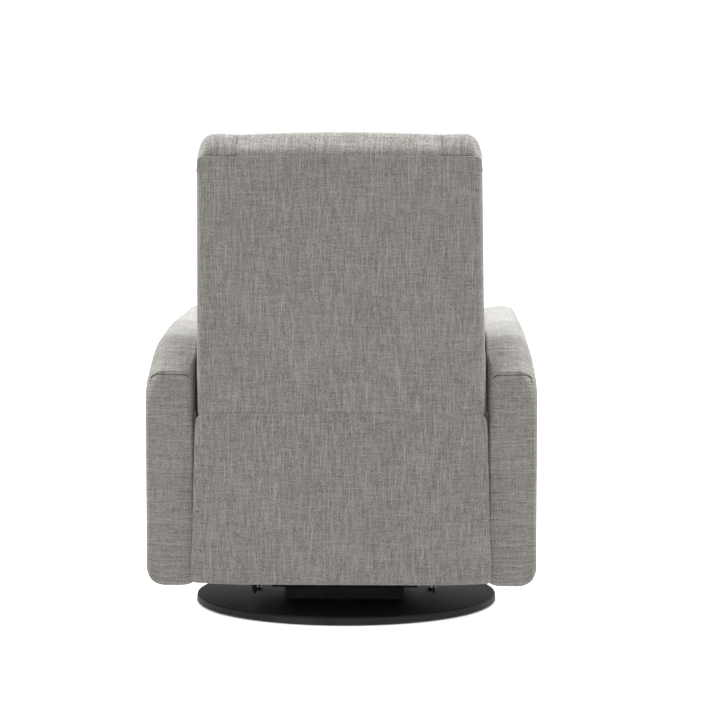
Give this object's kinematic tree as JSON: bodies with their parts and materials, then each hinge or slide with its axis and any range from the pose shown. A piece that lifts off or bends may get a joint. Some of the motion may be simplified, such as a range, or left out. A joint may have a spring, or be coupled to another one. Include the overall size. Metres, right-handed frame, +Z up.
{
  "type": "swivel glider recliner",
  "caption": "Upholstered recliner on a round swivel base with hanging glide links, reclining back, sliding seat and folding legrest.",
  "frame": {"origin": "swivel axis where it meets the floor, on the underside of the centre floor pad", "axes": "+Z up along the swivel axis, the sitter faces -Y, +X is the sitter's left"},
  "size_m": [0.776, 0.9002, 0.9934],
  "materials": {
    "upholstery": "matte",
    "black_steel": "satin",
    "mechanism_steel": "satin",
    "zinc": "satin",
    "bearing_steel": "polished",
    "spring_steel": "satin",
    "bronze": "satin",
    "plywood": "matte",
    "core_board": "matte",
    "nylon": "satin",
    "pad_rubber": "matte",
    "webbing": "matte"
  },
  "bodies": {
    "base": {"base_plate": "black_steel", "base_core": "core_board", "floor_pads": "pad_rubber", "lower_race": "bearing_steel", "base_bolts": "zinc", "king_pin": "zinc"},
    "swivel": {"swivel_pan": "black_steel", "upper_race": "bearing_steel", "bearing_balls": "bearing_steel", "pivot_bush": "bronze", "glide_channels": "black_steel", "glide_bracket_left": "black_steel", "glide_bracket_right": "black_steel", "glide_upper_pins": "zinc"},
    "front_links": {"front_glide_links": "mechanism_steel"},
    "rear_links": {"rear_glide_links": "mechanism_steel"},
    "carriage": {"glide_rail_left": "black_steel", "glide_rail_right": "black_steel", "glide_lower_pins": "zinc", "cross_rails": "black_steel", "mechanism_rail_left": "mechanism_steel", "mechanism_rail_right": "mechanism_steel", "arm_cover_left": "upholstery", "arm_cover_right": "upholstery", "arm_frame_left": "plywood", "arm_frame_right": "plywood", "arm_bolts": "zinc", "rear_panel_board": "plywood", "rear_panel_cover": "upholstery"},
    "seat": {"seat_side_rails": "plywood", "seat_cross_rails": "plywood", "seat_springs": "spring_steel", "seat_cushion": "upholstery", "seat_side_plate_left": "mechanism_steel", "seat_side_plate_right": "mechanism_steel", "seat_runners": "nylon", "back_pivot_pins": "zinc", "legrest_hinge_pins": "zinc"},
    "backrest": {"back_outer_cover": "upholstery", "back_stiles": "plywood", "back_rails": "plywood", "back_springs": "spring_steel", "back_cushion": "upholstery", "back_wing_left": "upholstery", "back_wing_right": "upholstery", "back_bracket_left": "mechanism_steel", "back_bracket_right": "mechanism_steel"},
    "legrest_drive": {"legrest_drive_links": "mechanism_steel", "legrest_torque_tube": "mechanism_steel", "drive_link_pins": "zinc"},
    "legrest_idler": {"legrest_idler_links": "mechanism_steel"},
    "legrest_carriers": {"legrest_carrier_links": "mechanism_steel", "idler_link_pins": "zinc"},
    "legrest_control": {"legrest_control_links": "mechanism_steel"},
    "legrest": {"legrest_brackets": "mechanism_steel", "legrest_board": "plywood", "legrest_cushion": "upholstery", "panel_link_pins": "zinc"},
    "release": {"release_tab": "webbing"}
  },
  "joints": [
    {"name": "swivel_turn", "type": "hinge", "parent": "base", "child": "swivel", "pos_m": [0, 0, 0.026], "axis": [0, 0, 1], "continuous": true},
    {"name": "glide", "type": "hinge", "parent": "swivel", "child": "front_links", "pos_m": [0, -0.11, 0.146], "axis": [-1, 0, 0], "range_deg": [-25, 25]},
    {"name": "glide_carriage", "type": "hinge", "parent": "front_links", "child": "carriage", "pos_m": [0, -0.11, 0.046], "axis": [-1, 0, 0], "range_deg": [-25.5, 25.5]},
    {"name": "glide_rear_links", "type": "hinge", "parent": "swivel", "child": "rear_links", "pos_m": [0, 0.11, 0.146], "axis": [-1, 0, 0], "range_deg": [-25.5, 25.5]},
    {"name": "seat_slide", "type": "slide", "parent": "carriage", "child": "seat", "axis": [0, -1, 0], "range_m": [0, 0.0755]},
    {"name": "back_recline", "type": "hinge", "parent": "seat", "child": "backrest", "pos_m": [0, 0.24, 0.4], "axis": [-1, 0, 0], "range_deg": [0, 32]},
    {"name": "legrest_open", "type": "hinge", "parent": "seat", "child": "legrest_drive", "pos_m": [0, -0.205, 0.31], "axis": [-1, 0, 0], "range_deg": [0, 85]},
    {"name": "legrest_idler_turn", "type": "hinge", "parent": "seat", "child": "legrest_idler", "pos_m": [0, -0.15738, 0.27349], "axis": [-1, 0, 0], "range_deg": [-0.5, 85.5]},
    {"name": "legrest_carrier_turn", "type": "hinge", "parent": "legrest_drive", "child": "legrest_carriers", "pos_m": [0, -0.14599, 0.14206], "axis": [-1, 0, 0], "range_deg": [-85.5, 0.5]},
    {"name": "legrest_control_turn", "type": "hinge", "parent": "legrest_drive", "child": "legrest_control", "pos_m": [0, -0.16091, 0.18452], "axis": [-1, 0, 0], "range_deg": [-85.5, 0.5]},
    {"name": "legrest_panel_turn", "type": "hinge", "parent": "legrest_carriers", "child": "legrest", "pos_m": [0, -0.352, 0.3], "axis": [-1, 0, 0], "range_deg": [-0.5, 85.5]},
    {"name": "release_pull", "type": "slide", "parent": "carriage", "child": "release", "axis": [0, 0, 1], "range_m": [0, 0.025], "stiffness_N_per_m": 400, "springref_m": -0.005}
  ],
  "couplings": [
    {"joint": "glide_carriage", "follows": "glide", "ratio": -1},
    {"joint": "glide_rear_links", "follows": "glide", "ratio": 1},
    {"joint": "seat_slide", "follows": "back_recline", "m_per_rad": 0.134},
    {"joint": "legrest_idler_turn", "follows": "legrest_open", "ratio": 1},
    {"joint": "legrest_carrier_turn", "follows": "legrest_open", "ratio": -1},
    {"joint": "legrest_control_turn", "follows": "legrest_open", "ratio": -1},
    {"joint": "legrest_panel_turn", "follows": "legrest_open", "ratio": 1}
  ]
}
